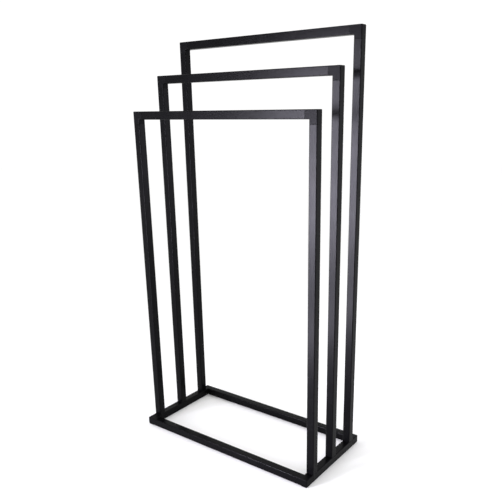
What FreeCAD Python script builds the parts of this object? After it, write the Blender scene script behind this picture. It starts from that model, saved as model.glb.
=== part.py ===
import FreeCAD, Part
import math
import os
import Sketcher
from FreeCAD import Placement, Rotation, Vector

# Three-tier free-standing towel rack of square steel tube.
# Millimetres. The origin is on the floor under the middle of the base, +X runs
# along the rails, +Y towards the tallest frame and +Z up.

SIZES = [
    # Whole rack
    ("overall_width", 435.0),
    ("base_depth", 205.0),
    ("front_height", 695.0),
    ("tier_step", 70.0),
    # Square tube
    ("tube_size", 16.0),
    ("tube_wall", 1.0),
    ("tube_corner", 1.5),
    # Corner elbows: each arm covers the other tube's width and this much more
    ("elbow_reach", 8.0),
    ("spigot_length", 18.0),
    ("spigot_gap", 0.1),
    ("spigot_corner", 0.8),
    # Foot bolts, M5 socket heads, and the plugs they screw into
    ("bolt_setback", 6.5),
    ("bolt_diameter", 5.0),
    ("bolt_length", 16.0),
    ("bolt_head_diameter", 8.5),
    ("bolt_head_height", 5.0),
    ("bolt_hex", 4.0),
    ("bolt_hex_depth", 2.5),
    ("bolt_hole_gap", 0.25),
    ("bolt_access_gap", 0.5),
    ("plug_length", 20.0),
    # Grub screws, M4, that pin each tube to the spigot inside it
    ("screw_diameter", 4.0),
    ("screw_length", 6.0),
    ("screw_hex", 2.0),
    ("screw_hex_depth", 2.5),
    ("screw_hole_gap", 0.1),
    # Rubber pads under the base's corners
    ("pad_thickness", 1.0),
    ("pad_inset", 1.0),
    ("pad_corner", 2.0),
]

# Worked out from the values above
DERIVED = [
    ("elbow_arm", "=tube_size + elbow_reach"),
    ("bore_size", "=tube_size - 2 * tube_wall"),
    ("bore_corner", "=tube_corner - tube_wall"),
    ("spigot_size", "=bore_size - 2 * spigot_gap"),
    ("rail_length", "=overall_width - 2 * elbow_arm"),
    ("side_bar_length", "=base_depth - 2 * elbow_arm"),
    ("bolt_from_end", "=elbow_arm + bolt_setback"),
    ("frame_pitch", "=base_depth / 2 - bolt_from_end"),
    ("tube_x", "=(overall_width - tube_size) / 2"),
    ("tube_y", "=(base_depth - tube_size) / 2"),
    ("base_axis_z", "=pad_thickness + tube_size / 2"),
    ("base_top", "=pad_thickness + tube_size"),
    ("screw_setback", "=spigot_length / 2"),
    ("screw_hole", "=screw_diameter + 2 * screw_hole_gap"),
    ("bolt_hole", "=bolt_diameter + 2 * bolt_hole_gap"),
    ("bolt_access", "=bolt_head_diameter + 2 * bolt_access_gap"),
]

# Name of a frame, its place in pitches from the middle and in steps up
FRAMES = [("front", -1, 0), ("middle", 0, 1), ("back", 1, 2)]
SIDES = [("left", -1), ("right", 1)]

doc = FreeCAD.newDocument("towel_rack")


# ---------------------------------------------------------------- sizes

def fill_sheet():
    sheet = doc.addObject("Spreadsheet::Sheet", "sizes")
    row = 1
    for name, value in SIZES + DERIVED:
        sheet.set("A%d" % row, name)
        sheet.set("B%d" % row, str(value))
        sheet.setAlias("B%d" % row, name)
        row += 1
    doc.recompute()


def size(name):
    return "sizes." + name


def times(factor, name):
    return "%g * sizes.%s" % (factor, name)


def height_of(step):
    return "(sizes.front_height + %d * sizes.tier_step)" % step


# ---------------------------------------------------------------- sketches

def new_body(name):
    body = doc.addObject("PartDesign::Body", name)
    body.Label = name
    return body


def new_sketch(body, name, role, offset=None):
    plane = [f for f in body.Origin.OriginFeatures if f.Role == role][0]
    sketch = body.newObject("Sketcher::SketchObject", body.Label + "_" + name)
    sketch.AttachmentSupport = [(plane, "")]
    sketch.MapMode = "FlatFace"
    if offset:
        sketch.setExpression(".AttachmentOffset.Base.z", offset)
    return sketch


def tie(sketch, name, constraint, expression):
    index = sketch.addConstraint(constraint)
    sketch.renameConstraint(index, name)
    sketch.setExpression("Constraints." + name, expression)


def rounded_square(sketch, tag, side, radius):
    """A square with round corners about the sketch's origin."""
    half = 5.0
    flat = 4.0
    turn = half - flat
    corners = [(flat, -flat, -90), (flat, flat, 0), (-flat, flat, 90), (-flat, -flat, 180)]
    starts = [(-flat, -half), (half, -flat), (flat, half), (-half, flat)]
    ends = [(flat, -half), (half, flat), (-flat, half), (-half, -flat)]
    lines = []
    arcs = []
    for start, end, (x, y, angle) in zip(starts, ends, corners):
        line = Part.LineSegment(Vector(start[0], start[1], 0), Vector(end[0], end[1], 0))
        lines.append(sketch.addGeometry(line, False))
        circle = Part.Circle(Vector(x, y, 0), Vector(0, 0, 1), turn)
        arc = Part.ArcOfCircle(circle, math.radians(angle), math.radians(angle + 90))
        arcs.append(sketch.addGeometry(arc, False))
    for index in range(4):
        following = lines[(index + 1) % 4]
        sketch.addConstraint(Sketcher.Constraint("Tangent", lines[index], 2, arcs[index], 1))
        sketch.addConstraint(Sketcher.Constraint("Tangent", arcs[index], 2, following, 1))
    for index in (0, 2):
        sketch.addConstraint(Sketcher.Constraint("Horizontal", lines[index]))
        sketch.addConstraint(Sketcher.Constraint("Vertical", lines[index + 1]))
    for arc in arcs[1:]:
        sketch.addConstraint(Sketcher.Constraint("Equal", arcs[0], arc))
    half_side = side + " / 2"
    tie(sketch, tag + "_radius", Sketcher.Constraint("Radius", arcs[0], turn), radius)
    tie(sketch, tag + "_right", Sketcher.Constraint("DistanceX", -1, 1, lines[1], 1, half), half_side)
    tie(sketch, tag + "_left", Sketcher.Constraint("DistanceX", lines[3], 1, -1, 1, half), half_side)
    tie(sketch, tag + "_top", Sketcher.Constraint("DistanceY", -1, 1, lines[2], 1, half), half_side)
    tie(sketch, tag + "_bottom", Sketcher.Constraint("DistanceY", lines[0], 1, -1, 1, half), half_side)


def circle_on_axis(sketch, tag, diameter, along=None, sign=1, vertical=False):
    """A circle on one axis of the sketch, the distance along from the origin."""
    reach = 20.0 * sign if along else 0.0
    centre = Vector(0, reach, 0) if vertical else Vector(reach, 0, 0)
    circle = sketch.addGeometry(Part.Circle(centre, Vector(0, 0, 1), 1.0), False)
    tie(sketch, tag + "_size", Sketcher.Constraint("Diameter", circle, 2.0), diameter)
    if not along:
        sketch.addConstraint(Sketcher.Constraint("Coincident", circle, 3, -1, 1))
        return
    axis = -2 if vertical else -1
    sketch.addConstraint(Sketcher.Constraint("PointOnObject", circle, 3, axis))
    kind = "DistanceY" if vertical else "DistanceX"
    first = (-1, 1, circle, 3) if sign > 0 else (circle, 3, -1, 1)
    tie(sketch, tag + "_along", Sketcher.Constraint(kind, *first, abs(reach)), along)


def hexagon(sketch, across_flats):
    """A hexagon about the sketch's origin, two of its sides parallel to X."""
    radius = 2.0
    points = []
    for index in range(6):
        angle = math.radians(60 * index)
        points.append(Vector(radius * math.cos(angle), radius * math.sin(angle), 0))
    lines = []
    for index in range(6):
        line = Part.LineSegment(points[index], points[(index + 1) % 6])
        lines.append(sketch.addGeometry(line, False))
    rim = Part.Circle(Vector(0, 0, 0), Vector(0, 0, 1), radius)
    circle = sketch.addGeometry(rim, True)
    sketch.addConstraint(Sketcher.Constraint("Coincident", circle, 3, -1, 1))
    for index in range(6):
        following = lines[(index + 1) % 6]
        sketch.addConstraint(Sketcher.Constraint("Coincident", lines[index], 2, following, 1))
        sketch.addConstraint(Sketcher.Constraint("PointOnObject", lines[index], 1, circle))
        if index:
            sketch.addConstraint(Sketcher.Constraint("Equal", lines[0], lines[index]))
    sketch.addConstraint(Sketcher.Constraint("Horizontal", lines[1]))
    tie(sketch, "rim", Sketcher.Constraint("Radius", circle, radius), across_flats + " / sqrt(3)")


# ---------------------------------------------------------------- features

def pad(body, sketch, length, both_ways=False, down=False):
    feature = body.newObject("PartDesign::Pad", sketch.Label + "_pad")
    feature.Profile = (sketch, [""])
    feature.setExpression("Length", length)
    if both_ways:
        feature.SideType = "Symmetric"
    feature.Reversed = down
    return feature


def pocket(body, sketch, depth, away=False):
    """Cut the sketch into the body and make sure that it really removed metal."""
    doc.recompute()
    before = body.Shape.Volume
    feature = body.newObject("PartDesign::Pocket", sketch.Label + "_cut")
    feature.Profile = (sketch, [""])
    feature.setExpression("Length", depth)
    feature.Reversed = away
    doc.recompute()
    if body.Shape.Volume > before - 0.01:
        raise RuntimeError(body.Label + ": " + sketch.Label + " cuts nothing")
    return feature


def put(thing, rotation, x, y, z):
    """Turn a piece and bind its place to the sheet."""
    thing.Placement = Placement(Vector(0, 0, 0), rotation)
    for axis, expression in (("x", x), ("y", y), ("z", z)):
        thing.setExpression("Placement.Base." + axis, expression)


def square_tube(name, role, length, both_ways):
    body = new_body(name)
    section = new_sketch(body, "section", role)
    rounded_square(section, "outside", size("tube_size"), size("tube_corner"))
    rounded_square(section, "bore", size("bore_size"), size("bore_corner"))
    pad(body, section, length, both_ways)
    return body


# ---------------------------------------------------------------- pieces

def rail(frame, row, step):
    """The top bar of one frame, with a screw hole near each end of its back face."""
    body = square_tube(frame + "_rail", "YZ_Plane", size("rail_length"), True)
    holes = new_sketch(body, "screw_holes", "XZ_Plane")
    along = "sizes.rail_length / 2 - sizes.screw_setback"
    for side, sign in SIDES:
        circle_on_axis(holes, side, size("screw_hole"), along, sign)
    pocket(body, holes, size("tube_size"))
    z = height_of(step) + " - sizes.tube_size / 2"
    put(body, Rotation(), "0", times(row, "frame_pitch"), z)
    return body


def upright(frame, row, step, side, sign):
    """One leg of a frame, from the base bar's top to the elbow's lower arm."""
    length = height_of(step) + " - sizes.elbow_arm - sizes.base_top"
    body = square_tube("%s_%s_upright" % (frame, side), "XY_Plane", length, False)
    hole = new_sketch(body, "screw_hole", "XZ_Plane")
    along = length + " - sizes.screw_setback"
    circle_on_axis(hole, "top", size("screw_hole"), along, 1, True)
    pocket(body, hole, size("tube_size"))
    put(body, Rotation(), times(sign, "tube_x"), times(row, "frame_pitch"), size("base_top"))
    return body


def base_cross_bar(name, sign):
    """The base's front or back bar, screwed to its elbows from underneath."""
    body = square_tube("base_%s_bar" % name, "YZ_Plane", size("rail_length"), True)
    holes = new_sketch(body, "screw_holes", "XY_Plane")
    along = "sizes.rail_length / 2 - sizes.screw_setback"
    for side, way in SIDES:
        circle_on_axis(holes, side, size("screw_hole"), along, way)
    pocket(body, holes, size("tube_size"))
    put(body, Rotation(), "0", times(sign, "tube_y"), size("base_axis_z"))
    return body


def base_side_bar(side, sign):
    """A side of the base, drilled for the bolts that hold the three uprights."""
    body = square_tube("base_%s_bar" % side, "XZ_Plane", size("side_bar_length"), True)
    for tag, diameter, up in (("bolt_access", "bolt_access", False), ("bolt_holes", "bolt_hole", True)):
        holes = new_sketch(body, tag, "XY_Plane")
        for frame, row, step in FRAMES:
            along = size("frame_pitch") if row else None
            circle_on_axis(holes, frame, size(diameter), along, row, True)
        pocket(body, holes, size("tube_size"), up)
    put(body, Rotation(), times(sign, "tube_x"), "0", size("base_axis_z"))
    return body


def elbow(name, x_hole, y_hole):
    """A corner piece with arms along +X and +Y and a spigot on the end of each.

    Each hole is given as its diameter and its distance from the spigot's shoulder."""
    body = new_body(name)
    spine = new_sketch(body, "corner_line", "XY_Plane")
    arm = "sizes.elbow_arm - sizes.tube_size / 2"
    start = Vector(0, 0, 0)
    along_x = spine.addGeometry(Part.LineSegment(Vector(10, 0, 0), start), False)
    along_y = spine.addGeometry(Part.LineSegment(start, Vector(0, 10, 0)), False)
    spine.addConstraint(Sketcher.Constraint("Coincident", along_x, 2, -1, 1))
    spine.addConstraint(Sketcher.Constraint("Coincident", along_y, 1, -1, 1))
    spine.addConstraint(Sketcher.Constraint("Horizontal", along_x))
    spine.addConstraint(Sketcher.Constraint("Vertical", along_y))
    tie(spine, "arm_x", Sketcher.Constraint("DistanceX", -1, 1, along_x, 1, 10.0), arm)
    tie(spine, "arm_y", Sketcher.Constraint("DistanceY", -1, 1, along_y, 2, 10.0), arm)
    section = new_sketch(body, "section", "YZ_Plane", arm)
    rounded_square(section, "outside", size("tube_size"), size("tube_corner"))
    corner = body.newObject("PartDesign::AdditivePipe", name + "_corner")
    corner.Profile = (section, [""])
    corner.Spine = (spine, ["Edge1", "Edge2"])
    corner.Transition = "Right corner"
    for tag, role, offset, down in (("x", "YZ_Plane", arm, False), ("y", "XZ_Plane", "-(%s)" % arm, True)):
        spigot = new_sketch(body, "spigot_" + tag, role, offset)
        rounded_square(spigot, "outside", size("spigot_size"), size("spigot_corner"))
        pad(body, spigot, size("spigot_length"), False, down)
    for tag, hole, vertical in (("x", x_hole, False), ("y", y_hole, True)):
        drilled = new_sketch(body, "hole_" + tag, "XY_Plane", "-sizes.tube_size / 2")
        along = "%s + %s" % (arm, hole[1])
        circle_on_axis(drilled, tag, hole[0], along, 1, vertical)
        pocket(body, drilled, size("tube_size"), True)
    return body


def top_elbow(frame, row, step, side, sign):
    """Joins a rail to an upright; its arms point inward and down."""
    screw = (size("screw_diameter"), size("screw_setback"))
    body = elbow("%s_%s_top_elbow" % (frame, side), screw, screw)
    turn = Rotation(Vector(1, 0, 0), -90)
    if sign > 0:
        turn = turn.multiply(Rotation(Vector(0, 0, 1), 90))
    z = height_of(step) + " - sizes.tube_size / 2"
    put(body, turn, times(sign, "tube_x"), times(row, "frame_pitch"), z)
    return body


def base_elbow(name, quarter_turns, x_sign, y_sign):
    """Joins a cross bar to a side bar; the side's spigot lets a foot bolt through."""
    screw = (size("screw_diameter"), size("screw_setback"))
    bolt = (size("bolt_access"), size("bolt_setback"))
    holes = (bolt, screw) if quarter_turns % 2 else (screw, bolt)
    body = elbow("base_%s_elbow" % name, *holes)
    turn = Rotation(Vector(0, 0, 1), 90 * quarter_turns)
    put(body, turn, times(x_sign, "tube_x"), times(y_sign, "tube_y"), size("base_axis_z"))
    return body


def foot_plug(frame, row, side, sign):
    """A threaded plug pressed into the lower end of an upright."""
    body = new_body("%s_%s_foot_plug" % (frame, side))
    section = new_sketch(body, "section", "XY_Plane")
    rounded_square(section, "outside", size("spigot_size"), size("spigot_corner"))
    circle_on_axis(section, "thread", size("bolt_diameter"))
    pad(body, section, size("plug_length"))
    put(body, Rotation(), times(sign, "tube_x"), times(row, "frame_pitch"), size("base_top"))
    return body


def corner_pad(name, x_sign, y_sign):
    """A thin rubber pad stuck under a corner of the base."""
    body = new_body("%s_pad" % name)
    section = new_sketch(body, "section", "XY_Plane")
    rounded_square(section, "outside", "(sizes.tube_size - 2 * sizes.pad_inset)", size("pad_corner"))
    pad(body, section, size("pad_thickness"))
    put(body, Rotation(), times(x_sign, "tube_x"), times(y_sign, "tube_y"), "0")
    return body


# ---------------------------------------------------------------- fasteners

def socket_screw(name, diameter, length, hex_size, hex_depth, head=None):
    """A screw with its shank upward from the origin and its socket facing down."""
    body = new_body(name)
    shank = new_sketch(body, "shank", "XY_Plane")
    circle_on_axis(shank, "shank", diameter)
    pad(body, shank, length)
    bottom = None
    if head:
        rim = new_sketch(body, "head", "XY_Plane")
        circle_on_axis(rim, "head", head[0])
        pad(body, rim, head[1], False, True)
        bottom = "-" + head[1]
    drive = new_sketch(body, "socket", "XY_Plane", bottom)
    hexagon(drive, hex_size)
    pocket(body, drive, hex_depth, True)
    return body


def group_of(name, screw, rotation, places):
    """Copies of one screw, kept as one piece made of separate solids."""
    copies = []
    for index, place in enumerate(places):
        copy = doc.addObject("App::Link", "%s_%d" % (name, index + 1))
        copy.LinkedObject = screw
        put(copy, rotation, *place)
        copies.append(copy)
    group = doc.addObject("Part::Compound", name)
    group.Label = name
    group.Links = copies
    return group


def foot_bolts():
    bolt = socket_screw("single_foot_bolt", size("bolt_diameter"), size("bolt_length"), size("bolt_hex"),
                        size("bolt_hex_depth"), (size("bolt_head_diameter"), size("bolt_head_height")))
    places = []
    for frame, row, step in FRAMES:
        for side, sign in SIDES:
            places.append((times(sign, "tube_x"), times(row, "frame_pitch"),
                           "sizes.base_top - sizes.tube_wall"))
    return group_of("foot_bolts", bolt, Rotation(), places)


def elbow_screws(screw):
    """Two screws for each top elbow, flush with the back faces of the tubes."""
    places = []
    for frame, row, step in FRAMES:
        back = times(row, "frame_pitch") + " + sizes.tube_size / 2"
        for side, sign in SIDES:
            rail_x = "%d * (sizes.rail_length / 2 - sizes.screw_setback)" % sign
            rail_z = height_of(step) + " - sizes.tube_size / 2"
            upright_z = height_of(step) + " - sizes.elbow_arm - sizes.screw_setback"
            places.append((rail_x, back, rail_z))
            places.append((times(sign, "tube_x"), back, upright_z))
    facing_front = Rotation(Vector(1, 0, 0), 90)
    return group_of("elbow_screws", screw, facing_front, places)


def base_screws(screw):
    """One screw from underneath into each end of the base's front and back bars."""
    places = []
    for name, y_sign in (("front", -1), ("back", 1)):
        for side, sign in SIDES:
            x = "%d * (sizes.rail_length / 2 - sizes.screw_setback)" % sign
            places.append((x, times(y_sign, "tube_y"), size("pad_thickness")))
    return group_of("base_screws", screw, Rotation(), places)


# ---------------------------------------------------------------- assembly

def build():
    fill_sheet()
    pieces = []
    for frame, row, step in FRAMES:
        pieces.append(rail(frame, row, step))
        for side, sign in SIDES:
            pieces.append(upright(frame, row, step, side, sign))
            pieces.append(top_elbow(frame, row, step, side, sign))
            pieces.append(foot_plug(frame, row, side, sign))
    for name, sign in (("front", -1), ("back", 1)):
        pieces.append(base_cross_bar(name, sign))
    for side, sign in SIDES:
        pieces.append(base_side_bar(side, sign))
    corners = [("front_left", -1, -1), ("front_right", 1, -1), ("back_right", 1, 1), ("back_left", -1, 1)]
    for quarter_turns, (name, x_sign, y_sign) in enumerate(corners):
        pieces.append(base_elbow(name, quarter_turns, x_sign, y_sign))
        pieces.append(corner_pad(name, x_sign, y_sign))
    screw = socket_screw("single_grub_screw", size("screw_diameter"), size("screw_length"),
                         size("screw_hex"), size("screw_hex_depth"))
    pieces.append(foot_bolts())
    pieces.append(elbow_screws(screw))
    pieces.append(base_screws(screw))
    doc.recompute()
    return pieces


def check_and_export(pieces):
    for thing in doc.Objects:
        if "Invalid" in thing.State or "Error" in thing.State:
            raise RuntimeError(thing.Label + " did not compute")
    os.makedirs("parts", exist_ok=True)
    for piece in pieces:
        if piece.Shape.isNull() or not piece.Shape.isValid():
            raise RuntimeError(piece.Label + " has no valid shape")
        piece.Shape.exportStep("parts/%s.step" % piece.Label)


check_and_export(build())
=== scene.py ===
import math

import bmesh
import bpy
from bpy.props import FloatProperty, FloatVectorProperty, IntProperty, PointerProperty
from mathutils import Euler, Matrix, Vector


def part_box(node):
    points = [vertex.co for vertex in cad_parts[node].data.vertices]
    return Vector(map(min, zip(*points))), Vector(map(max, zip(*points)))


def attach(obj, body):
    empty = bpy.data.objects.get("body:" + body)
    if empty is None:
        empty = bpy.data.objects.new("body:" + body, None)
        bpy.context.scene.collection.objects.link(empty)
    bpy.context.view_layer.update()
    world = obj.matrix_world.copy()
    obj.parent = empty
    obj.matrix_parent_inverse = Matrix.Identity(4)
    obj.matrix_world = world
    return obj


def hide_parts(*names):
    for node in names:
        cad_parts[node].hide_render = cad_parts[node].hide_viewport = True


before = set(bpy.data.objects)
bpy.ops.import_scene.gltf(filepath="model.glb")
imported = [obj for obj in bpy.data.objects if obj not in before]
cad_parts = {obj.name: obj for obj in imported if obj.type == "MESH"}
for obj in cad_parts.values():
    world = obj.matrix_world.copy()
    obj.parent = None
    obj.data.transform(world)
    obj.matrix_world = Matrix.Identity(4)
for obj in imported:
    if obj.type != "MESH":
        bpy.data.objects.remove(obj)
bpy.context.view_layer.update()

bl_info = {
    "name": "Stepped Towel Rack",
    "version": (1, 0, 0),
    "blender": (4, 5, 0),
    "location": "3D View > Sidebar > Towel Rack",
    "description": "Makes the tubes, elbows, screws and pads of a stepped towel rack",
    "category": "Add Mesh",
}

MM = 0.001
# Places closer together than this are the same place.
SAME = 1e-6
FRAMES = ("front", "middle", "back")
SIDES = {"left": -1, "right": 1}
# The base's corners, anticlockwise from above, each with its side of the middle along X and Y.
BASE_CORNERS = {"front_left": (-1, -1), "front_right": (1, -1),
                "back_right": (1, 1), "back_left": (-1, 1)}
# The ways a hole can face.
BACK = (0, 1, 0)
DOWN = (0, 0, -1)
UP = (0, 0, 1)
# Flats round a drilled hole and round a turned screw.
ROUND_STEPS = 32


def linear(hex_colour):
    """An sRGB hex colour as linear red, green, blue and alpha."""
    channels = []
    for start in (1, 3, 5):
        value = int(hex_colour[start:start + 2], 16) / 255
        channels.append(value / 12.92 if value <= 0.04045 else ((value + 0.055) / 1.055) ** 2.4)
    return (*channels, 1.0)


def middle(node):
    low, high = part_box(node)
    return (low + high) / 2


def outer_line(low, high, sign):
    """Where the middle of a tube lies along one axis, on the outer side of an elbow's box."""
    return high - TUBE_SIDE / 2 if sign > 0 else low + TUBE_SIDE / 2


# ------------------------------------------------------------------ sizes and colours

# The tube's width, an elbow's reach from its outer corner to the tube's end, and how far its spigot
# goes in.
TUBE_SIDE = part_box("front_rail")[1].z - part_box("front_rail")[0].z
ELBOW_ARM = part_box("base_front_bar")[0].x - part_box("base_front_left_elbow")[0].x
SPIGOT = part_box("base_front_left_elbow")[1].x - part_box("base_front_bar")[0].x


class TubeSettings(bpy.types.PropertyGroup):
    wall: FloatProperty(name="Wall", description="Thickness of the steel", default=1.0 * MM, unit="LENGTH")
    corner: FloatProperty(name="Corner Radius", description="Outside radius of the rolled corners",
                          default=1.5 * MM, unit="LENGTH")
    corner_steps: IntProperty(name="Corner Steps", description="Flats around each rolled corner",
                              default=5, min=1)
    end_chamfer: FloatProperty(name="End Chamfer", description="Softening of the cut ends under the coat",
                               default=0.35 * MM, unit="LENGTH")
    colour: FloatVectorProperty(name="Coat Colour", description="Powder coat", subtype="COLOR", size=4,
                                default=linear("#070708"))


class ElbowSettings(bpy.types.PropertyGroup):
    edge: FloatProperty(name="Edge Radius", description="Radius along the arms, the same as the tube's",
                        default=1.5 * MM, unit="LENGTH")
    shoulder: FloatProperty(name="Shoulder Chamfer", description="Softening where the arm meets the tube",
                            default=0.4 * MM, unit="LENGTH")
    spigot_side: FloatProperty(name="Spigot", description="Width of the square spigot inside the tube",
                               default=13.8 * MM, unit="LENGTH")
    lead: FloatProperty(name="Lead-In", description="Length of the spigot's narrowing tip",
                        default=1.2 * MM, unit="LENGTH")
    tip: FloatProperty(name="Tip Width", description="Width of the tip as a share of the spigot's",
                       default=0.88)
    colour: FloatVectorProperty(name="Plastic Colour", description="Moulded plastic", subtype="COLOR",
                                size=4, default=linear("#060607"))


class FastenerSettings(bpy.types.PropertyGroup):
    bolt_diameter: FloatProperty(name="Bolt Diameter", description="Foot bolt, M5", default=5 * MM,
                                 unit="LENGTH")
    bolt_head: FloatProperty(name="Bolt Head", description="Head diameter", default=8.5 * MM, unit="LENGTH")
    bolt_head_height: FloatProperty(name="Head Height", description="Height of the head", default=5 * MM,
                                    unit="LENGTH")
    bolt_hex: FloatProperty(name="Bolt Socket", description="Across the flats", default=4 * MM,
                            unit="LENGTH")
    bolt_chamfer: FloatProperty(name="Bolt Chamfer", description="Chamfer on the head and the tip",
                                default=0.4 * MM, unit="LENGTH")
    screw_diameter: FloatProperty(name="Grub Screw Diameter", description="M4", default=4 * MM,
                                  unit="LENGTH")
    screw_length: FloatProperty(name="Grub Screw Length", description="From end to end", default=6 * MM,
                                unit="LENGTH")
    screw_hex: FloatProperty(name="Grub Screw Socket", description="Across the flats", default=2 * MM,
                             unit="LENGTH")
    screw_chamfer: FloatProperty(name="Grub Screw Chamfer", description="Chamfer on both ends",
                                 default=0.3 * MM, unit="LENGTH")
    socket_depth: FloatProperty(name="Socket Depth", description="Depth of both sockets", default=2.5 * MM,
                                unit="LENGTH")
    hole_gap: FloatProperty(name="Hole Gap", description="Room round a grub screw", default=0.1 * MM,
                            unit="LENGTH")
    bolt_access: FloatProperty(name="Bolt Access", description="Diameter of the hole that lets the head in",
                               default=9.5 * MM, unit="LENGTH")
    bolt_hole: FloatProperty(name="Bolt Hole", description="Diameter of the hole for the shank",
                             default=5.5 * MM, unit="LENGTH")


class PadSettings(bpy.types.PropertyGroup):
    corner: FloatProperty(name="Corner Radius", description="Corner of the pad", default=2 * MM,
                          unit="LENGTH")
    lip: FloatProperty(name="Lip", description="Width of the rim round the sunk middle", default=1.4 * MM,
                       unit="LENGTH")
    sink: FloatProperty(name="Sink", description="Depth of the sunk middle and width of its slope",
                        default=0.3 * MM, unit="LENGTH")
    edge: FloatProperty(name="Edge Radius", description="Softening of the pressed edges",
                        default=0.2 * MM, unit="LENGTH")


class StageSettings(bpy.types.PropertyGroup):
    floor_side: FloatProperty(name="Floor", description="Side of the floor", default=14.0, unit="LENGTH")
    floor_colour: FloatVectorProperty(name="Floor Colour", description="Seamless paper", subtype="COLOR",
                                      size=4, default=linear("#fcfcfb"))
    backdrop: FloatProperty(name="Backdrop", description="Brightness of the backdrop", default=1.05)
    walls: FloatProperty(name="Walls", description="Brightness of the room at the height of the floor",
                         default=0.86)
    ceiling: FloatProperty(name="Ceiling", description="Brightness of the room overhead", default=1.15)


# ------------------------------------------------------------------ finishes

def add(tree, kind, inputs=None, links=None, **settings):
    """A node with its settings, its input values and its links, given as input: output socket."""
    node = tree.nodes.new(kind)
    for name, value in settings.items():
        setattr(node, name, value)
    for name, value in (inputs or {}).items():
        node.inputs[name].default_value = value
    for name, source in (links or {}).items():
        tree.links.new(source, node.inputs[name])
    return node


def new_material(name):
    material = bpy.data.materials.new(name)
    material.use_nodes = True
    material.node_tree.nodes.clear()
    return material, material.node_tree


def surface(tree, **links):
    """A Principled shader wired to the material's output."""
    shader = add(tree, "ShaderNodeBsdfPrincipled")
    for name, source in links.items():
        tree.links.new(source, shader.inputs[name.replace("_", " ")])
    add(tree, "ShaderNodeOutputMaterial", links={"Surface": shader.outputs["BSDF"]})
    return shader


def shade(colour, factor):
    return (colour[0] * factor, colour[1] * factor, colour[2] * factor, 1.0)


def grains(size):
    """The scale of a pattern whose grains are this wide."""
    return 1 / size


def powder_coat(colour):
    """Baked polyester powder over steel tube: a satin black film with a faint orange peel, so
    its reflections are broad and a little uneven, and a shade thinner in patches."""
    material, tree = new_material("satin_powder_coat")
    place = add(tree, "ShaderNodeTexCoord").outputs["Object"]
    # The film's thickness drifts over 40 mm.
    drift = add(tree, "ShaderNodeTexNoise", {"Scale": grains(40 * MM), "Detail": 3.0}, {"Vector": place})
    # Orange peel is really 1 to 2 mm across; 3 mm is the finest that shows.
    peel = add(tree, "ShaderNodeTexNoise", {"Scale": grains(3 * MM), "Detail": 2.0, "Roughness": 0.4},
               {"Vector": place})
    tone = add(tree, "ShaderNodeMix", {"A": shade(colour, 0.82), "B": shade(colour, 1.2)},
               {"Factor": drift.outputs["Fac"]}, data_type="RGBA")
    sheen = add(tree, "ShaderNodeMapRange", {"To Min": 0.23, "To Max": 0.31},
                {"Value": drift.outputs["Fac"]})
    bump = add(tree, "ShaderNodeBump", {"Strength": 0.4, "Distance": 0.05 * MM},
               {"Height": peel.outputs["Fac"]})
    shader = surface(tree, Base_Color=tone.outputs["Result"], Roughness=sheen.outputs["Result"],
                     Normal=bump.outputs["Normal"])
    shader.inputs["IOR"].default_value = 1.5
    # The level is low because the floor and the room are white, and would turn the film grey.
    shader.inputs["Specular IOR Level"].default_value = 0.045
    return material


def moulded_plastic(colour):
    """Glass-filled nylon moulded in a spark-eroded tool: blacker than the tube and more matt,
    with a fine even grain that breaks up its highlights."""
    material, tree = new_material("moulded_black_nylon")
    place = add(tree, "ShaderNodeTexCoord").outputs["Object"]
    # Spark-eroded grain is about 0.2 mm; 1 mm is the finest that shows.
    grain = add(tree, "ShaderNodeTexNoise", {"Scale": grains(1 * MM), "Detail": 4.0}, {"Vector": place})
    # The melt's flow leaves patches about 14 mm wide.
    flow = add(tree, "ShaderNodeTexNoise", {"Scale": grains(14 * MM), "Detail": 2.0}, {"Vector": place})
    tone = add(tree, "ShaderNodeMix", {"A": shade(colour, 0.85), "B": shade(colour, 1.25)},
               {"Factor": flow.outputs["Fac"]}, data_type="RGBA")
    dull = add(tree, "ShaderNodeMapRange", {"To Min": 0.33, "To Max": 0.43},
               {"Value": grain.outputs["Fac"]})
    bump = add(tree, "ShaderNodeBump", {"Strength": 0.35, "Distance": 0.04 * MM},
               {"Height": grain.outputs["Fac"]})
    shader = surface(tree, Base_Color=tone.outputs["Result"], Roughness=dull.outputs["Result"],
                     Normal=bump.outputs["Normal"])
    shader.inputs["IOR"].default_value = 1.5
    shader.inputs["Specular IOR Level"].default_value = 0.04
    return material


def plated_steel():
    """Zinc-plated steel: a pale, slightly blue metal with fine crystals in the plating."""
    material, tree = new_material("zinc_plated_steel")
    place = add(tree, "ShaderNodeTexCoord").outputs["Object"]
    crystals = add(tree, "ShaderNodeTexVoronoi", {"Scale": grains(1.1 * MM)}, {"Vector": place})
    tone = add(tree, "ShaderNodeMix", {"A": linear("#9fa4a8"), "B": linear("#c3c7c8")},
               {"Factor": crystals.outputs["Distance"]}, data_type="RGBA")
    dull = add(tree, "ShaderNodeMapRange", {"To Min": 0.28, "To Max": 0.45},
               {"Value": crystals.outputs["Distance"]})
    shader = surface(tree, Base_Color=tone.outputs["Result"], Roughness=dull.outputs["Result"])
    shader.inputs["Metallic"].default_value = 1.0
    return material


def black_oxide():
    """Black oxide on turned steel screws: a dark oily metal, a little patchy where the oil dried."""
    material, tree = new_material("black_oxide_steel")
    place = add(tree, "ShaderNodeTexCoord").outputs["Object"]
    patches = add(tree, "ShaderNodeTexNoise", {"Scale": grains(1.7 * MM), "Detail": 3.0},
                  {"Vector": place})
    tone = add(tree, "ShaderNodeMix", {"A": linear("#26262a"), "B": linear("#3a393c")},
               {"Factor": patches.outputs["Fac"]}, data_type="RGBA")
    dull = add(tree, "ShaderNodeMapRange", {"To Min": 0.35, "To Max": 0.55},
               {"Value": patches.outputs["Fac"]})
    shader = surface(tree, Base_Color=tone.outputs["Result"], Roughness=dull.outputs["Result"])
    shader.inputs["Metallic"].default_value = 1.0
    return material


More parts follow.
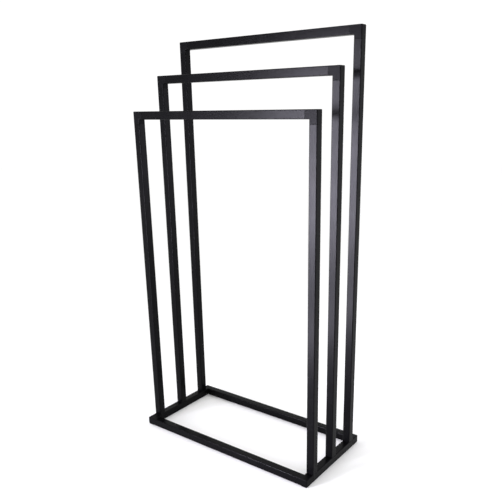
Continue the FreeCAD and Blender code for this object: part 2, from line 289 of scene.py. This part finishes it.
def pad_rubber():
    """Pressed black rubber: very matt, with dust in its pores."""
    material, tree = new_material("pressed_black_rubber")
    place = add(tree, "ShaderNodeTexCoord").outputs["Object"]
    pores = add(tree, "ShaderNodeTexNoise", {"Scale": grains(0.7 * MM), "Detail": 5.0}, {"Vector": place})
    tone = add(tree, "ShaderNodeMix", {"A": linear("#0b0b0b"), "B": linear("#171716")},
               {"Factor": pores.outputs["Fac"]}, data_type="RGBA")
    bump = add(tree, "ShaderNodeBump", {"Strength": 0.4, "Distance": 0.05 * MM},
               {"Height": pores.outputs["Fac"]})
    shader = surface(tree, Base_Color=tone.outputs["Result"], Normal=bump.outputs["Normal"])
    shader.inputs["Roughness"].default_value = 0.85
    shader.inputs["IOR"].default_value = 1.52
    shader.inputs["Specular IOR Level"].default_value = 0.25
    return material


def studio_paper(colour):
    """Seamless studio paper: pale and dull, with a trace of pulp."""
    material, tree = new_material("seamless_paper")
    place = add(tree, "ShaderNodeTexCoord").outputs["Object"]
    pulp = add(tree, "ShaderNodeTexNoise", {"Scale": grains(25 * MM), "Detail": 4.0}, {"Vector": place})
    tone = add(tree, "ShaderNodeMix", {"A": shade(colour, 0.985), "B": colour},
               {"Factor": pulp.outputs["Fac"]}, data_type="RGBA")
    shader = surface(tree, Base_Color=tone.outputs["Result"])
    shader.inputs["Roughness"].default_value = 0.95
    shader.inputs["Specular IOR Level"].default_value = 0.1
    return material


# ------------------------------------------------------------------ shared steps

def link(name, mesh):
    piece = bpy.data.objects.new(name, mesh)
    bpy.context.scene.collection.objects.link(piece)
    return piece


def baked(source, name):
    """A plain mesh of what a piece's modifiers give, in place of the piece they were on."""
    graph = bpy.context.evaluated_depsgraph_get()
    mesh = bpy.data.meshes.new_from_object(source.evaluated_get(graph), preserve_all_data_layers=True,
                                           depsgraph=graph)
    # Geometry Nodes leave an empty slot before their own material.
    if len(mesh.materials) > 1 and mesh.materials[0] is None:
        mesh.materials.pop(index=0)
        mesh.polygons.foreach_set("material_index", [0] * len(mesh.polygons))
    bpy.data.objects.remove(source)
    mesh.name = name
    return link(name, mesh)


def settle(piece, slot, *nodes):
    """Puts a finished piece in the rack in place of its CAD nodes."""
    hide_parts(*nodes)
    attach(piece, "root")


def soften(piece, width, steps, degrees):
    """Rounds the edges sharper than an angle and keeps the flats flat."""
    bevel = piece.modifiers.new("edges", "BEVEL")
    bevel.width = width
    bevel.segments = steps
    bevel.limit_method = "ANGLE"
    bevel.angle_limit = math.radians(degrees)
    flats = piece.modifiers.new("flats", "WEIGHTED_NORMAL")
    flats.keep_sharp = True


def drilled_points(name, holes):
    """Points where the drill enters, each with its radius and the way out of the hole."""
    mesh = bpy.data.meshes.new(name)
    mesh.from_pydata([place for place, radius, way in holes], [], [])
    radii = mesh.attributes.new("drill_radius", "FLOAT", "POINT")
    ways = mesh.attributes.new("drill_way", "FLOAT_VECTOR", "POINT")
    for index, (place, radius, way) in enumerate(holes):
        radii.data[index].value = radius
        ways.data[index].vector = way
    return link(name, mesh)


def run_nodes(piece, tree, values):
    """A Geometry Nodes modifier with its inputs set by name."""
    modifier = piece.modifiers.new(tree.name, "NODES")
    modifier.node_group = tree
    for item in tree.interface.items_tree:
        if item.item_type == "SOCKET" and item.in_out == "INPUT" and item.name in values:
            modifier[item.identifier] = values[item.name]


def new_tree(name, sockets):
    tree = bpy.data.node_groups.new(name, "GeometryNodeTree")
    tree.interface.new_socket("Geometry", in_out="INPUT", socket_type="NodeSocketGeometry")
    for label, kind in sockets:
        tree.interface.new_socket(label, in_out="INPUT", socket_type="NodeSocket" + kind)
    tree.interface.new_socket("Geometry", in_out="OUTPUT", socket_type="NodeSocketGeometry")
    return tree, tree.nodes.new("NodeGroupInput").outputs


# ------------------------------------------------------------------ tubes

def solid_bar(tree, start, end, side, radius, steps):
    """A square section with rolled corners, run from one point to another."""
    line = add(tree, "GeometryNodeCurvePrimitiveLine", links={"Start": start, "End": end})
    square = add(tree, "GeometryNodeCurvePrimitiveQuadrilateral", links={"Width": side, "Height": side})
    outline = add(tree, "GeometryNodeFilletCurve",
                  links={"Curve": square.outputs["Curve"], "Radius": radius, "Count": steps}, mode="POLY")
    bar = add(tree, "GeometryNodeCurveToMesh", {"Fill Caps": True},
              {"Curve": line.outputs["Curve"], "Profile Curve": outline.outputs["Curve"]})
    return bar.outputs["Mesh"]


def drill_set(tree, points, depth):
    """A drill through each point, as wide as its radius and turned the way its hole faces."""
    drill = add(tree, "GeometryNodeMeshCylinder", {"Vertices": ROUND_STEPS, "Radius": 1.0},
                {"Depth": depth})
    radius = add(tree, "GeometryNodeInputNamedAttribute", {"Name": "drill_radius"}, data_type="FLOAT")
    way = add(tree, "GeometryNodeInputNamedAttribute", {"Name": "drill_way"}, data_type="FLOAT_VECTOR")
    turn = add(tree, "FunctionNodeAlignRotationToVector", links={"Vector": way.outputs["Attribute"]},
               axis="Z")
    width = add(tree, "ShaderNodeCombineXYZ", {"Z": 1.0},
                {"X": radius.outputs["Attribute"], "Y": radius.outputs["Attribute"]})
    drills = add(tree, "GeometryNodeInstanceOnPoints",
                 links={"Points": points, "Instance": drill.outputs["Mesh"],
                        "Rotation": turn.outputs["Rotation"], "Scale": width.outputs["Vector"]})
    real = add(tree, "GeometryNodeRealizeInstances", links={"Geometry": drills.outputs["Instances"]})
    return real.outputs["Geometry"]


def tube_tree():
    """Square tube: a rolled section run from Start to End, bored through, and drilled at each point."""
    tree, given = new_tree("square_tube", [
        ("Start", "Vector"), ("End", "Vector"), ("Side", "Float"), ("Wall", "Float"), ("Corner", "Float"),
        ("Corner Steps", "Int"), ("Material", "Material")])
    bar = solid_bar(tree, given["Start"], given["End"], given["Side"], given["Corner"],
                    given["Corner Steps"])
    # The bore runs past both ends by the tube's width, so that it cuts them open.
    run = add(tree, "ShaderNodeVectorMath", links={0: given["End"], 1: given["Start"]},
              operation="SUBTRACT")
    along = add(tree, "ShaderNodeVectorMath", links={0: run.outputs["Vector"]}, operation="NORMALIZE")
    past = add(tree, "ShaderNodeVectorMath", links={0: along.outputs["Vector"], "Scale": given["Side"]},
               operation="SCALE")
    before = add(tree, "ShaderNodeVectorMath", links={0: given["Start"], 1: past.outputs["Vector"]},
                 operation="SUBTRACT")
    after = add(tree, "ShaderNodeVectorMath", links={0: given["End"], 1: past.outputs["Vector"]},
                operation="ADD")
    walls = add(tree, "ShaderNodeMath", {0: 2.0}, {1: given["Wall"]}, operation="MULTIPLY")
    bore_side = add(tree, "ShaderNodeMath", links={0: given["Side"], 1: walls.outputs["Value"]},
                    operation="SUBTRACT")
    bore_corner = add(tree, "ShaderNodeMath", links={0: given["Corner"], 1: given["Wall"]},
                      operation="SUBTRACT")
    bore = solid_bar(tree, before.outputs["Vector"], after.outputs["Vector"], bore_side.outputs["Value"],
                     bore_corner.outputs["Value"], given["Corner Steps"])
    cut = add(tree, "GeometryNodeMeshBoolean", links={"Mesh 1": bar}, operation="DIFFERENCE",
              solver="EXACT")
    tree.links.new(bore, cut.inputs["Mesh 2"])
    tree.links.new(drill_set(tree, given["Geometry"], given["Side"]), cut.inputs["Mesh 2"])
    smooth = add(tree, "GeometryNodeSetShadeSmooth", {"Shade Smooth": True},
                 {"Geometry": cut.outputs["Mesh"]})
    real = add(tree, "GeometryNodeRealizeInstances", links={"Geometry": smooth.outputs["Geometry"]})
    coat = add(tree, "GeometryNodeSetMaterial",
               links={"Geometry": real.outputs["Geometry"], "Material": given["Material"]})
    add(tree, "NodeGroupOutput", links={"Geometry": coat.outputs["Geometry"]})
    return tree


def make_tube(node, axis, holes):
    """One tube, as long as its CAD node, with its own holes."""
    settings = bpy.context.scene.rack_tubes
    low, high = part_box(node)
    start = (low + high) / 2
    end = start.copy()
    start[axis] = low[axis]
    end[axis] = high[axis]
    tree = bpy.data.node_groups.get("square_tube") or tube_tree()
    coat = bpy.data.materials.get("satin_powder_coat") or powder_coat(settings.colour)
    piece = drilled_points(node + "_points", holes)
    run_nodes(piece, tree, {
        "Start": start, "End": end, "Side": TUBE_SIDE, "Wall": settings.wall, "Corner": settings.corner,
        "Corner Steps": settings.corner_steps, "Material": coat})
    soften(piece, settings.end_chamfer, steps=2, degrees=50)
    tube = baked(piece, node + "_tube")
    settle(tube, "tube_coat", node)


def screw_hole():
    """The radius of a hole that a grub screw passes through."""
    sizes = bpy.context.scene.rack_fasteners
    return sizes.screw_diameter / 2 + sizes.hole_gap


class RACK_OT_rails(bpy.types.Operator):
    """Make the top rails, drilled at the back for their grub screws"""
    bl_idname = "rack.rails"
    bl_label = "Rails"

    def execute(self, context):
        for name in FRAMES:
            node = name + "_rail"
            low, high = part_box(node)
            z = (low.z + high.z) / 2
            holes = [(Vector((x, high.y, z)), screw_hole(), BACK)
                     for x in (low.x + SPIGOT / 2, high.x - SPIGOT / 2)]
            make_tube(node, 0, holes)
        return {"FINISHED"}


class RACK_OT_uprights(bpy.types.Operator):
    """Make the uprights, drilled at the back of the upper end"""
    bl_idname = "rack.uprights"
    bl_label = "Uprights"

    def execute(self, context):
        for name in FRAMES:
            for side in SIDES:
                node = "%s_%s_upright" % (name, side)
                low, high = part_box(node)
                x = (low.x + high.x) / 2
                make_tube(node, 2, [(Vector((x, high.y, high.z - SPIGOT / 2)), screw_hole(), BACK)])
        return {"FINISHED"}


class RACK_OT_base_bars(bpy.types.Operator):
    """Make the base's bars, drilled for its screws and for the foot bolts"""
    bl_idname = "rack.base_bars"
    bl_label = "Base Bars"

    def execute(self, context):
        sizes = context.scene.rack_fasteners
        for name in ("front", "back"):
            node = "base_%s_bar" % name
            low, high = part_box(node)
            y = (low.y + high.y) / 2
            holes = [(Vector((x, y, low.z)), screw_hole(), DOWN)
                     for x in (low.x + SPIGOT / 2, high.x - SPIGOT / 2)]
            make_tube(node, 0, holes)
        for side in SIDES:
            node = "base_%s_bar" % side
            low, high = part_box(node)
            x = (low.x + high.x) / 2
            holes = []
            for name in FRAMES:
                y = middle("%s_%s_upright" % (name, side)).y
                holes.append((Vector((x, y, low.z)), sizes.bolt_access / 2, DOWN))
                holes.append((Vector((x, y, high.z)), sizes.bolt_hole / 2, UP))
            make_tube(node, 1, holes)
        return {"FINISHED"}


# ------------------------------------------------------------------ elbows

def lies_at(part, axis, value):
    """Whether all of an edge or a face lies at one place along an axis."""
    return all(abs(vertex.co[axis] - value) < SAME for vertex in part.verts)


def round_edges(shape, edges, radius, steps):
    bmesh.ops.bevel(shape, geom=edges, offset=radius, offset_type="OFFSET", segments=steps, profile=0.5,
                    affect="EDGES", clamp_overlap=True)


def grow_spigot(shape, axis, arm, settings):
    """Insets the end of an arm and draws it out into a spigot with a led-in tip."""
    end = [f for f in shape.faces if lies_at(f, axis, arm)][0]
    inset = TUBE_SIDE / 2 - settings.shoulder - settings.spigot_side / 2
    bmesh.ops.inset_region(shape, faces=[end], thickness=inset, use_even_offset=True)
    for length, narrow in ((SPIGOT - settings.lead, 1.0), (settings.lead, settings.tip)):
        drawn = bmesh.ops.extrude_face_region(shape, geom=[end])["geom"]
        shape.faces.remove(end)
        end = [g for g in drawn if isinstance(g, bmesh.types.BMFace)][0]
        for vertex in end.verts:
            vertex.co[axis] += length
            for other in range(3):
                if other != axis:
                    vertex.co[other] *= narrow


def elbow_mesh():
    """An L of two square arms along +X and +Y with its edges moulded round and a spigot on each arm."""
    settings = bpy.context.scene.rack_elbows
    half = TUBE_SIDE / 2
    arm = ELBOW_ARM - half
    outline = [(-half, -half), (arm, -half), (arm, half), (half, half), (half, arm), (-half, arm)]
    shape = bmesh.new()
    face = shape.faces.new([shape.verts.new((x, y, -half)) for x, y in outline])
    drawn = bmesh.ops.extrude_face_region(shape, geom=[face])["geom"]
    for vertex in [g for g in drawn if isinstance(g, bmesh.types.BMVert)]:
        vertex.co.z += 2 * half
    bmesh.ops.recalc_face_normals(shape, faces=shape.faces)
    # The four long edges of each arm, and the knee on the outside of the corner.
    arms = [e for e in shape.edges if lies_at(e, 2, e.verts[0].co.z)
            and not lies_at(e, 0, arm) and not lies_at(e, 1, arm)]
    knee = [e for e in shape.edges if lies_at(e, 0, -half) and lies_at(e, 1, -half)]
    round_edges(shape, arms + knee, settings.edge, steps=4)
    for axis in (0, 1):
        rim = [e for e in shape.edges if lies_at(e, axis, arm)]
        round_edges(shape, rim, settings.shoulder, steps=2)
        grow_spigot(shape, axis, arm, settings)
    for polygon in shape.faces:
        polygon.smooth = True
    mesh = bpy.data.meshes.new("elbow")
    shape.to_mesh(mesh)
    shape.free()
    return mesh


def make_elbow(node, turn, place):
    """One elbow, turned and put at the crossing of its two tubes."""
    settings = bpy.context.scene.rack_elbows
    mesh = elbow_mesh()
    mesh.set_sharp_from_angle(angle=math.radians(50))
    plastic = bpy.data.materials.get("moulded_black_nylon") or moulded_plastic(settings.colour)
    mesh.materials.append(plastic)
    mesh.transform(Matrix.Translation(place) @ turn.to_4x4())
    piece = link(node + "_source", mesh)
    flats = piece.modifiers.new("flats", "WEIGHTED_NORMAL")
    flats.keep_sharp = True
    settle(baked(piece, node + "_moulding"), "elbow_plastic", node)


class RACK_OT_top_elbows(bpy.types.Operator):
    """Mould the elbows between the rails and the uprights"""
    bl_idname = "rack.top_elbows"
    bl_label = "Top Elbows"

    def execute(self, context):
        down = Matrix.Rotation(-math.pi / 2, 3, "X")
        for name in FRAMES:
            for side, sign in SIDES.items():
                node = "%s_%s_top_elbow" % (name, side)
                low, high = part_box(node)
                turn = down @ Matrix.Rotation(math.pi / 2, 3, "Z") if sign > 0 else down
                x = outer_line(low.x, high.x, sign)
                make_elbow(node, turn, Vector((x, (low.y + high.y) / 2, high.z - TUBE_SIDE / 2)))
        return {"FINISHED"}


class RACK_OT_base_elbows(bpy.types.Operator):
    """Mould the elbows at the corners of the base"""
    bl_idname = "rack.base_elbows"
    bl_label = "Base Elbows"

    def execute(self, context):
        for quarters, (corner, (x_sign, y_sign)) in enumerate(BASE_CORNERS.items()):
            node = "base_%s_elbow" % corner
            low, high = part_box(node)
            x = outer_line(low.x, high.x, x_sign)
            y = outer_line(low.y, high.y, y_sign)
            turn = Matrix.Rotation(quarters * math.pi / 2, 3, "Z")
            make_elbow(node, turn, Vector((x, y, (low.z + high.z) / 2)))
        return {"FINISHED"}


# ------------------------------------------------------------------ fasteners

def screw_template(name, rings, across_flats, depth):
    """A turned screw, its rings given as height and radius from the socket end, with a hex socket."""
    shape = bmesh.new()
    loops = []
    for height, radius in rings:
        loop = []
        for index in range(ROUND_STEPS):
            angle = 2 * math.pi * index / ROUND_STEPS
            loop.append(shape.verts.new((radius * math.cos(angle), radius * math.sin(angle), height)))
        loops.append(loop)
    for lower, upper in zip(loops, loops[1:]):
        for index in range(ROUND_STEPS):
            following = (index + 1) % ROUND_STEPS
            shape.faces.new((lower[index], lower[following], upper[following], upper[index]))
    shape.faces.new(reversed(loops[0]))
    shape.faces.new(loops[-1])
    mesh = bpy.data.meshes.new(name)
    shape.to_mesh(mesh)
    shape.free()
    screw = link(name + "_blank", mesh)
    key = bmesh.new()
    across_points = 2 * across_flats / math.sqrt(3)
    bmesh.ops.create_cone(key, cap_ends=True, segments=6, radius1=across_points / 2,
                          radius2=across_points / 2, depth=2 * depth,
                          matrix=Matrix.Translation((0, 0, rings[0][0])))
    key_mesh = bpy.data.meshes.new(name + "_key")
    key.to_mesh(key_mesh)
    key.free()
    broach = link(name + "_key", key_mesh)
    cut = screw.modifiers.new("socket", "BOOLEAN")
    cut.operation = "DIFFERENCE"
    cut.object = broach
    made = baked(screw, name)
    bpy.data.objects.remove(broach)
    return made


def fastener_tree():
    """Copies of one screw, one at each point, all turned the same way."""
    tree, given = new_tree("fastener_set", [
        ("Screw", "Object"), ("Turn", "Rotation"), ("Material", "Material")])
    screw = add(tree, "GeometryNodeObjectInfo", {"As Instance": True}, {"Object": given["Screw"]})
    copies = add(tree, "GeometryNodeInstanceOnPoints",
                 links={"Points": given["Geometry"], "Instance": screw.outputs["Geometry"],
                        "Rotation": given["Turn"]})
    real = add(tree, "GeometryNodeRealizeInstances", links={"Geometry": copies.outputs["Instances"]})
    coat = add(tree, "GeometryNodeSetMaterial",
               links={"Geometry": real.outputs["Geometry"], "Material": given["Material"]})
    add(tree, "NodeGroupOutput", links={"Geometry": coat.outputs["Geometry"]})
    return tree


def make_fasteners(node, screw, places, turn):
    """One set of like screws as one piece."""
    mesh = bpy.data.meshes.new(node + "_points")
    mesh.from_pydata(places, [], [])
    points = link(node + "_points", mesh)
    tree = bpy.data.node_groups.get("fastener_set") or fastener_tree()
    run_nodes(points, tree, {"Screw": screw, "Turn": turn,
                             "Material": bpy.data.materials.get("black_oxide_steel") or black_oxide()})
    piece = baked(points, node + "_set")
    bpy.data.objects.remove(screw)
    settle(piece, "screw_steel", node)


def grub_screw(sizes):
    """A headless screw with a chamfer at both ends."""
    radius = sizes.screw_diameter / 2
    length = sizes.screw_length
    chamfer = sizes.screw_chamfer
    rings = [(0, radius - chamfer), (chamfer, radius),
             (length - chamfer, radius), (length, radius - chamfer)]
    return screw_template("grub_screw", rings, sizes.screw_hex, sizes.socket_depth)


def foot_bolt(sizes, length):
    """A socket-head bolt with its head below the origin and its shank above."""
    head = sizes.bolt_head / 2
    height = sizes.bolt_head_height
    shank = sizes.bolt_diameter / 2
    chamfer = sizes.bolt_chamfer
    rings = [(-height, head - chamfer), (chamfer - height, head), (0, head),
             (0, shank), (length - chamfer, shank), (length, shank - chamfer)]
    return screw_template("foot_bolt", rings, sizes.bolt_hex, sizes.socket_depth)


def elbow_screw_places():
    """One place on the rail's spigot and one on the upright's, at the back of each top elbow."""
    places = []
    for name in FRAMES:
        for side, sign in SIDES.items():
            low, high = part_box("%s_%s_top_elbow" % (name, side))
            inner = low.x if sign > 0 else high.x
            foot = middle("%s_%s_upright" % (name, side))
            places.append((inner + sign * SPIGOT / 2, high.y, high.z - TUBE_SIDE / 2))
            places.append((foot.x, high.y, low.z + SPIGOT / 2))
    return places


def base_screw_places():
    """One place under each end of the base's front and back bars."""
    places = []
    for name in ("front", "back"):
        low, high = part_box("base_%s_bar" % name)
        for x in (low.x + SPIGOT / 2, high.x - SPIGOT / 2):
            places.append((x, (low.y + high.y) / 2, low.z))
    return places


class RACK_OT_fasteners(bpy.types.Operator):
    """Make the foot bolts and the grub screws of the elbows and the base"""
    bl_idname = "rack.fasteners"
    bl_label = "Bolts and Screws"

    def execute(self, context):
        sizes = context.scene.rack_fasteners
        low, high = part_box("foot_bolts")
        under_head = low.z + sizes.bolt_head_height
        feet = [middle("%s_%s_upright" % (name, side)) for name in FRAMES for side in SIDES]
        make_fasteners("foot_bolts", foot_bolt(sizes, high.z - under_head),
                       [(foot.x, foot.y, under_head) for foot in feet], Euler((0, 0, 0)))
        make_fasteners("elbow_screws", grub_screw(sizes), elbow_screw_places(),
                       Euler((math.pi / 2, 0, 0)))
        make_fasteners("base_screws", grub_screw(sizes), base_screw_places(), Euler((0, 0, 0)))
        return {"FINISHED"}


class RACK_OT_foot_plugs(bpy.types.Operator):
    """Give the threaded plugs inside the uprights their plating"""
    bl_idname = "rack.foot_plugs"
    bl_label = "Foot Plugs"

    def execute(self, context):
        plating = plated_steel()
        for name in FRAMES:
            for side in SIDES:
                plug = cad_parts["%s_%s_foot_plug" % (name, side)]
                for slot in plug.material_slots:
                    slot.material = plating
        return {"FINISHED"}


# ------------------------------------------------------------------ pads

class RACK_OT_pads(bpy.types.Operator):
    """Press the rubber pads, each with a rim round a sunk middle"""
    bl_idname = "rack.pads"
    bl_label = "Pads"

    def execute(self, context):
        settings = context.scene.rack_pads
        rubber = pad_rubber()
        for corner in BASE_CORNERS:
            node = corner + "_pad"
            low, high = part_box(node)
            shape = bmesh.new()
            size = high - low
            bmesh.ops.create_cube(shape, size=1.0, matrix=Matrix.Translation((low + high) / 2)
                                  @ Matrix.Diagonal((size.x, size.y, size.z, 1.0)))
            posts = [e for e in shape.edges if abs(e.verts[0].co.z - e.verts[1].co.z) > size.z / 2]
            round_edges(shape, posts, settings.corner, steps=6)
            sole = [f for f in shape.faces if lies_at(f, 2, low.z)]
            for width in (settings.lip, settings.sink):
                bmesh.ops.inset_region(shape, faces=sole, thickness=width, use_even_offset=True)
            for vertex in sole[0].verts:
                vertex.co.z += settings.sink
            bmesh.ops.recalc_face_normals(shape, faces=shape.faces)
            mesh = bpy.data.meshes.new(node + "_rubber")
            shape.to_mesh(mesh)
            shape.free()
            mesh.materials.append(rubber)
            piece = link(node + "_source", mesh)
            soften(piece, settings.edge, steps=2, degrees=60)
            settle(baked(piece, node + "_rubber"), "pad_rubber", node)
        return {"FINISHED"}


# ------------------------------------------------------------------ stage

# Name, place, height of the target, width, height and brightness. The key panels stand in a column
# at the front on the left, the strips are just above the floor between them and the rack, and the
# weak panels round the rest keep its other sides from going black.
SOFTBOXES = (
    ("key_low", (-0.89, -1.94, 0.12), 0.35, 0.42, 0.24, 180.0),
    ("key_middle", (-0.89, -1.94, 0.42), 0.42, 0.42, 0.30, 145.0),
    ("key_high", (-0.89, -1.94, 0.78), 0.60, 0.42, 0.36, 95.0),
    ("strip_far", (-0.42, -1.11, 0.08), 0.32, 0.35, 0.16, 42.0),
    ("strip_near", (-0.15, -0.64, 0.06), 0.17, 0.28, 0.12, 66.0),
    ("rear", (1.80, 1.35, 0.50), 0.45, 0.90, 1.00, 6.0),
    ("back", (-0.25, 2.25, 0.50), 0.45, 0.90, 1.00, 16.0),
    ("right", (2.45, -0.10, 0.50), 0.45, 0.90, 1.00, 8.0),
    ("left", (-2.20, 0.10, 0.50), 0.45, 0.90, 1.00, 10.0),
)


# The lamps point between the front and the middle upright on the right.
LIT_X, LIT_Y = 0.21, -0.03
# A trace of violet, in linear red, green and blue.
LAMP_COLOUR = (0.87, 0.84, 1.0)
# The grid in front of each lamp lets light out up to this far from straight ahead.
GRID_ANGLE = math.radians(25)


def softbox(name, place, target_height, width, height, radiance):
    """A rectangular lamp turned to the right-hand side of the rack, unseen by the camera."""
    lamp = bpy.data.lights.new(name, "AREA")
    lamp.shape = "RECTANGLE"
    lamp.size = width
    lamp.size_y = height
    lamp.color = LAMP_COLOUR
    lamp.spread = 2 * GRID_ANGLE
    # The share of the light that the grid lets through, so that the lamp keeps its brightness.
    passed = (math.sin(GRID_ANGLE) ** 2
              - (GRID_ANGLE - math.sin(2 * GRID_ANGLE) / 2) / math.tan(GRID_ANGLE))
    lamp.energy = radiance * math.pi * width * height * passed
    stand = bpy.data.objects.new(name, lamp)
    stand.location = place
    aim = Vector((LIT_X, LIT_Y, target_height)) - Vector(place)
    stand.rotation_euler = aim.to_track_quat("-Z", "Y").to_euler()
    stand.visible_camera = False
    bpy.context.scene.collection.objects.link(stand)


def backdrop(settings):
    """A white backdrop behind everything, and a room that is lit by its white ceiling."""
    world = bpy.data.worlds.new("studio")
    world.use_nodes = True
    tree = world.node_tree
    tree.nodes.clear()
    white = (1.0, 1.0, 1.0, 1.0)
    seen = add(tree, "ShaderNodeBackground", {"Color": white, "Strength": settings.backdrop})
    way = add(tree, "ShaderNodeTexCoord").outputs["Generated"]
    height = add(tree, "ShaderNodeSeparateXYZ", links={0: way})
    glow = add(tree, "ShaderNodeMapRange", {"To Min": settings.walls, "To Max": settings.ceiling},
               {"Value": height.outputs["Z"]})
    room = add(tree, "ShaderNodeBackground", {"Color": white}, {"Strength": glow.outputs["Result"]})
    ray = add(tree, "ShaderNodeLightPath")
    mix = add(tree, "ShaderNodeMixShader", links={0: ray.outputs["Is Camera Ray"], 1: room.outputs[0],
                                                 2: seen.outputs[0]})
    add(tree, "ShaderNodeOutputWorld", links={"Surface": mix.outputs[0]})
    bpy.context.scene.world = world


# Where the camera stands, in metres, and how far it looks left, looks down and leans, in degrees.
CAMERA_PLACE = (0.73773, -0.92832, 0.69320)
LOOK_LEFT, LOOK_DOWN, LEAN = 36.209, 17.036, -0.714
# Both in millimetres, and then the shift as a share of the sensor's width.
SENSOR_WIDTH, FOCAL_LENGTH = 36.0, 42.45
SHIFT_X, SHIFT_Y = -0.0356, 0.0820


def camera():
    lens = bpy.data.cameras.new("view")
    lens.sensor_width = SENSOR_WIDTH
    lens.lens = FOCAL_LENGTH
    lens.shift_x = SHIFT_X
    lens.shift_y = SHIFT_Y
    stand = bpy.data.objects.new("view", lens)
    turn = (Matrix.Rotation(math.radians(LOOK_LEFT), 4, "Z")
            @ Matrix.Rotation(math.radians(90 - LOOK_DOWN), 4, "X")
            @ Matrix.Rotation(math.radians(LEAN), 4, "Z"))
    stand.matrix_world = Matrix.Translation(CAMERA_PLACE) @ turn
    bpy.context.scene.collection.objects.link(stand)
    bpy.context.scene.camera = stand


class RACK_OT_stage(bpy.types.Operator):
    """Lay the floor, hang the lights and the backdrop, and place the camera"""
    bl_idname = "rack.stage"
    bl_label = "Stage"

    def execute(self, context):
        settings = context.scene.rack_stage
        half = settings.floor_side / 2
        mesh = bpy.data.meshes.new("floor")
        mesh.from_pydata([(-half, -half, 0), (half, -half, 0), (half, half, 0), (-half, half, 0)], [],
                         [(0, 1, 2, 3)])
        mesh.materials.append(studio_paper(settings.floor_colour))
        link("floor", mesh)
        for lamp in SOFTBOXES:
            softbox(*lamp)
        backdrop(settings)
        camera()
        context.scene.view_settings.view_transform = "Standard"
        return {"FINISHED"}


# ------------------------------------------------------------------ add-on

class RACK_PT_panel(bpy.types.Panel):
    """Lists what makes the rack, piece by piece"""
    bl_idname = "RACK_PT_panel"
    bl_label = "Towel Rack"
    bl_space_type = "VIEW_3D"
    bl_region_type = "UI"
    bl_category = "Towel Rack"

    def draw(self, context):
        for operator in OPERATORS:
            self.layout.operator(operator.bl_idname)


OPERATORS = (RACK_OT_rails, RACK_OT_uprights, RACK_OT_base_bars, RACK_OT_top_elbows, RACK_OT_base_elbows,
             RACK_OT_fasteners, RACK_OT_foot_plugs, RACK_OT_pads, RACK_OT_stage)
SETTINGS = (("rack_tubes", TubeSettings), ("rack_elbows", ElbowSettings),
            ("rack_fasteners", FastenerSettings), ("rack_pads", PadSettings),
            ("rack_stage", StageSettings))


def register():
    for name, group in SETTINGS:
        bpy.utils.register_class(group)
        setattr(bpy.types.Scene, name, PointerProperty(type=group))
    for operator in OPERATORS:
        bpy.utils.register_class(operator)
    bpy.utils.register_class(RACK_PT_panel)


def unregister():
    bpy.utils.unregister_class(RACK_PT_panel)
    for operator in reversed(OPERATORS):
        bpy.utils.unregister_class(operator)
    for name, group in reversed(SETTINGS):
        delattr(bpy.types.Scene, name)
        bpy.utils.unregister_class(group)


def main():
    register()
    bpy.ops.rack.rails()
    bpy.ops.rack.uprights()
    bpy.ops.rack.base_bars()
    bpy.ops.rack.top_elbows()
    bpy.ops.rack.base_elbows()
    bpy.ops.rack.fasteners()
    bpy.ops.rack.foot_plugs()
    bpy.ops.rack.pads()
    bpy.ops.rack.stage()


if __name__ == "__main__":
    main()
